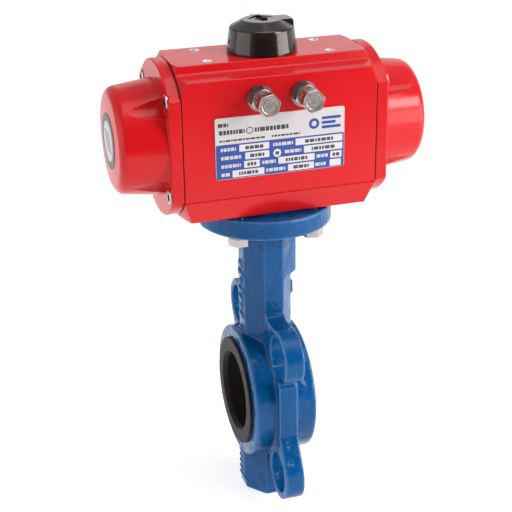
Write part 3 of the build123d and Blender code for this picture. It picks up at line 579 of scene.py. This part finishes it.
def add_field(edit, left, right, top, bottom, radius, levels):
    """Rectangle with round corners between shares of the plate."""
    outline = rounded(plate_x(left), plate_z(bottom), plate_x(right), plate_z(top), radius)
    add_plate(edit, outline, on_plate, levels)


def add_word(edit, dice, left, right, top, bottom, levels):
    """Row of short bars in place of a word, between shares of the plate."""
    x = plate_x(left)
    end = plate_x(right)
    while x < end - LETTER_GAP:
        wide = min(dice.uniform(*LETTER_WIDTHS), end - x)
        bar = rounded(x, plate_z(bottom), x + wide, plate_z(top), LETTER_ROUND, 2)
        add_plate(edit, bar, on_plate, levels)
        x += wide + LETTER_GAP


def add_table(inks, dice):
    """Four rows of white fields with a word in each, and a pale word beside each field."""
    for row, (fields, labels) in enumerate(zip(FIELD_ROWS, LABEL_ROWS)):
        top = FIRST_ROW + ROW_PITCH * row
        for left, right in fields:
            add_field(inks["white"], left, right, top, top + FIELD_DEEP, FIELD_ROUND, FIELD)
            middle = (left + right) / 2
            half = (right - left) * WORD_SHARE
            if (row, left) != EMPTY_FIELD:
                word = (middle - half, middle + half, top + WORD_TOP, top + WORD_BOTTOM)
                add_word(inks["dark"], dice, *word, ON_FIELD)
        for left, right in labels:
            add_word(inks["pale"], dice, left, right, top + WORD_TOP, top + WORD_BOTTOM, ON_PANEL)


def star_outline():
    """Small white burst with eight points."""
    points = []
    for i in range(16):
        reach = STAR_REACHES[i % 2]
        angle = pi / 8 * i
        points.append((plate_x(STAR_X) + reach * cos(angle), plate_z(STAR_Z) + reach * sin(angle)))
    return points


def make_nameplate_print():
    """Blue panel, white fields, and plain bars in place of the words."""
    dice = random.Random(5)
    inks = {ink: bmesh.new() for ink in ("blue", "white", "pale", "dark")}
    add_field(inks["blue"], 0.003, 0.997, 0.43, 0.994, PANEL_ROUND, PANEL)
    add_table(inks, dice)
    add_plate(inks["white"], star_outline(), on_plate, FIELD)
    add_word(inks["dark"], dice, *STAR_WORD, ON_FIELD)
    for word in TITLE_WORDS:
        add_word(inks["dark"], dice, *word, ON_PLATE)
    for ink, x, z, radius, levels in BADGES:
        add_plate(inks[ink], disc_outline(plate_x(x), plate_z(z), radius), on_plate, levels)
    for top, right in STRIPES:
        add_field(inks["blue"], STRIPES_LEFT, right, top, top + STRIPE_DEEP, STRIPE_ROUND, ON_PLATE)
    for ink, edit in inks.items():
        piece("plate_" + ink, mesh_from("plate_" + ink, edit), "ink_" + ink, "housing")


# ---- end labels -----------------------------------------------------------------------------
AXIS_HEIGHT = 191.0
CAP_END = 101.0
LABEL_RING_RADIUS = 17.8
LABEL_DISC_RADIUS = 12.9
LABEL_SIDES = 96
LABEL_BAR = ((-4.5, -6.2), (-2.34, -6.2), (4.14, 6.2), (1.98, 6.2))
LABEL_BAR_PITCH = 4.86


def label_frame(side):
    """Points over one cap's nose: across, up and outwards."""
    return lambda y, z, level: Vector((side * (CAP_END + level), -side * y, AXIS_HEIGHT + z))


def make_end_labels():
    """Dark ring, pale disc and three slanted bars on each cap's nose."""
    for side_name, side in (("left", -1), ("right", 1)):
        on_label = label_frame(side)
        ring, disc, bars = bmesh.new(), bmesh.new(), bmesh.new()
        add_plate(ring, disc_outline(0, 0, LABEL_RING_RADIUS, LABEL_SIDES), on_label, (0.0, 0.3))
        add_plate(disc, disc_outline(0, 0, LABEL_DISC_RADIUS, LABEL_SIDES), on_label, (0.2, 0.35))
        for i in (-1, 0, 1):
            bar = [(y + LABEL_BAR_PITCH * i, z) for y, z in LABEL_BAR]
            add_plate(bars, bar, on_label, (0.3, 0.4))
        name = side_name + "_label_"
        base = piece(name + "ring", mesh_from("label_ring", ring), "label_print", "housing")
        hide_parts(side_name + "_end_label")
        piece(name + "disc", mesh_from("label_disc", disc), "ink_pale", "housing")
        piece(name + "bars", mesh_from("label_bars", bars), "ink_grey", "housing")


# ---- stop screws, along Y -------------------------------------------------------------------
STOP_Z = 220.3
HEAD_FRONT = -58.0
HEAD_BACK = -52.7
HEAD_FLATS = 13.0
HEAD_TURN = 12
HEAD_SIDES = 48
CORNER_LOSS = 0.12
DISH_RINGS = ((5.0, 0.02), (4.6, 0.28))
THREAD_START = -52.9
THREAD_END = -17.0
THREAD_PITCH = 1.25
THREAD_RADIUS = 3.98
THREAD_DEPTH = 0.7
TIP_RADIUS = 3.0
TIP_START, TIP_END = -17.5, -13.0
STUD_COUNT = 7
STUD_RING = 2.9
STUD_FIRST, STUD_STEP = 20, 51
STUD_BACK = -57.6
STUD_TALL = 0.4
STUD_FOOT_RADIUS, STUD_TOP_RADIUS = 0.95, 0.5


def screw_point(x, y, radius, angle):
    """Point around a stop screw's axis."""
    return Vector((x + radius * cos(angle), y, STOP_Z + radius * sin(angle)))


def add_thread(edit, x):
    """Helical thread that fades out at both ends."""
    sides = 64
    rows_per_turn = 8
    length = THREAD_END - THREAD_START
    rows = int(length / THREAD_PITCH * rows_per_turn)
    rings = []
    for i in range(rows + 1):
        y = THREAD_START + length * i / rows
        fade = min(1.0, (y - THREAD_START) / THREAD_PITCH, (THREAD_END - y) / THREAD_PITCH)
        ring = []
        for j in range(sides):
            turn = j / sides
            wave = abs(((y / THREAD_PITCH + turn) % 1.0) * 2 - 1)
            cut = THREAD_DEPTH * min(1.0, max(0.0, wave * 1.25 - 0.12)) * max(0.0, fade)
            ring.append(screw_point(x, y, THREAD_RADIUS - cut, 2 * pi * turn))
        rings.append(ring)
    add_rings(edit, rings)


def add_hex_head(edit, x):
    """Hexagon with a chamfered front and a shallow dish."""
    circle = HEAD_FLATS / 2
    corner = circle / cos(pi / 6)
    stations = (
        (HEAD_BACK, 1.0, 0.0),
        (HEAD_FRONT + 0.9, 1.0, 0.0),
        (HEAD_FRONT + 0.25, 1.0, 0.15),
        (HEAD_FRONT, 0.965, 0.3),
    )
    angles = [2 * pi * j / HEAD_SIDES for j in range(HEAD_SIDES)]
    rings = []
    for y, scale, roundness in stations:
        ring = []
        for angle in angles:
            hexagon = circle / cos((angle % (pi / 3)) - pi / 6)
            radius = (hexagon * (1 - roundness) + circle * roundness) * scale
            ring.append(screw_point(x, y, min(radius, corner - CORNER_LOSS), angle + radians(HEAD_TURN)))
        rings.append(ring)
    for radius, depth in DISH_RINGS:
        rings.append([screw_point(x, HEAD_FRONT + depth, radius, angle) for angle in angles])
    add_rings(edit, rings)


def add_head_studs(edit, x):
    """Ring of small raised studs in the head's dish."""
    for i in range(STUD_COUNT):
        spot = screw_point(x, STUD_BACK, STUD_RING, radians(STUD_FIRST + STUD_STEP * i))
        add_rod(edit, STUD_FOOT_RADIUS, spot, spot + Vector((0, -STUD_TALL, 0)), 16, STUD_TOP_RADIUS)


def make_stop_screws():
    """Adjusting screws with their thread, a plain tip and a dished hexagon head."""
    for name, body in (("close_stop_screw", "close_stop"), ("open_stop_screw", "open_stop")):
        low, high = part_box(name)
        x = (low.x + high.x) / 2 / MM
        edit = bmesh.new()
        add_hex_head(edit, x)
        add_thread(edit, x)
        add_rod(edit, TIP_RADIUS, (x, TIP_START, STOP_Z), (x, TIP_END, STOP_Z), 32)
        add_head_studs(edit, x)
        screw = piece(name + "_threaded", mesh_from(name, edit), "stainless", body, smooth=28)
        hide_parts(name)


# ---- bare rims ------------------------------------------------------------------------------
HOLE_X, HOLE_Y = 40, 15
HOLE_SIDES = 40
RIM_PROFILE = ((1.95, 233.5), (1.95, 238.9), (2.1, 239.5), (2.35, 239.97), (3.2, 239.98), (3.3, 239.88))


def make_hole_rims():
    """Bare metal countersinks and linings of the accessory holes."""
    edit = bmesh.new()
    for x in (-HOLE_X, HOLE_X):
        for y in (-HOLE_Y, HOLE_Y):
            rings = []
            for radius, z in RIM_PROFILE:
                rings.append([Vector((*point, z)) for point in disc_outline(x, y, radius, HOLE_SIDES)])
            add_rings(edit, rings, closed=False)
    rims = mesh_from("hole_rims", edit)
    piece("accessory_hole_rims", rims, "cast_aluminium", "housing", smooth=30)


def make_springs():
    """Return springs as copies of the CAD springs' meshes, attached to the housing."""
    for node, side in (("left_springs", -1), ("right_springs", 1)):
        mesh = NODES[node].data.copy()
        coils = piece(node + "_coils", mesh, "spring_steel", "housing")
        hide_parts(node)
        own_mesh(coils)


# ---- put it together ------------------------------------------------------------------------
make_camera()
make_world()
MATERIALS = {
    "red_coating": red_coating(),
    "blue_coating": blue_coating(),
    "stainless": stainless_steel(),
    "spring_steel": metal("spring_steel", (0.3, 0.31, 0.33), 0.35),
    "cast_aluminium": metal("cast_aluminium", (0.9, 0.9, 0.92), 0.42, relief=0.05),
    "plated_steel": metal("plated_steel", (0.6, 0.6, 0.57), 0.28),
    "bronze": metal("bronze", (0.62, 0.4, 0.18), 0.35),
    "plate_print": plastic("plate_print", (0.6, 0.575, 0.585), 0.35, 0.05),
    "black_rubber": rubber(),
    "guide_plastic": plastic("guide_plastic", (0.8, 0.78, 0.7), 0.5),
    "black_plastic": plastic("black_plastic", (0.014, 0.010, 0.008), 0.14, 0.4),
    "pale_plastic": plastic("pale_plastic", (0.85, 0.72, 0.7), 0.3),
    "label_print": plastic("label_print", (0.06, 0.065, 0.1), 0.45),
    "ink_blue": plastic("ink_blue", (0.012, 0.06, 0.3), 0.35, 0.08),
    "ink_white": plastic("ink_white", (0.66, 0.64, 0.66), 0.35, 0.04),
    "ink_pale": plastic("ink_pale", (0.56, 0.54, 0.55), 0.35, 0.04),
    "ink_dark": plastic("ink_dark", (0.05, 0.045, 0.05), 0.3, 0.2),
    "ink_grey": plastic("ink_grey", (0.02, 0.02, 0.045), 0.3, 0.1),
}
SLOTS = {row["node"]: row["material_slot"] for row in frame["record"]["subparts"]}
for name, obj in NODES.items():
    obj.data.materials.clear()
    obj.data.materials.append(MATERIALS[SLOTS[name]])

make_floor(cad_low.z)
make_casting()
make_nameplate_print()
make_end_labels()
make_stop_screws()
make_hole_rims()
make_springs()
for lamp in LAMPS:
    area_light(*lamp)
bpy.context.scene.view_settings.view_transform = "Standard"
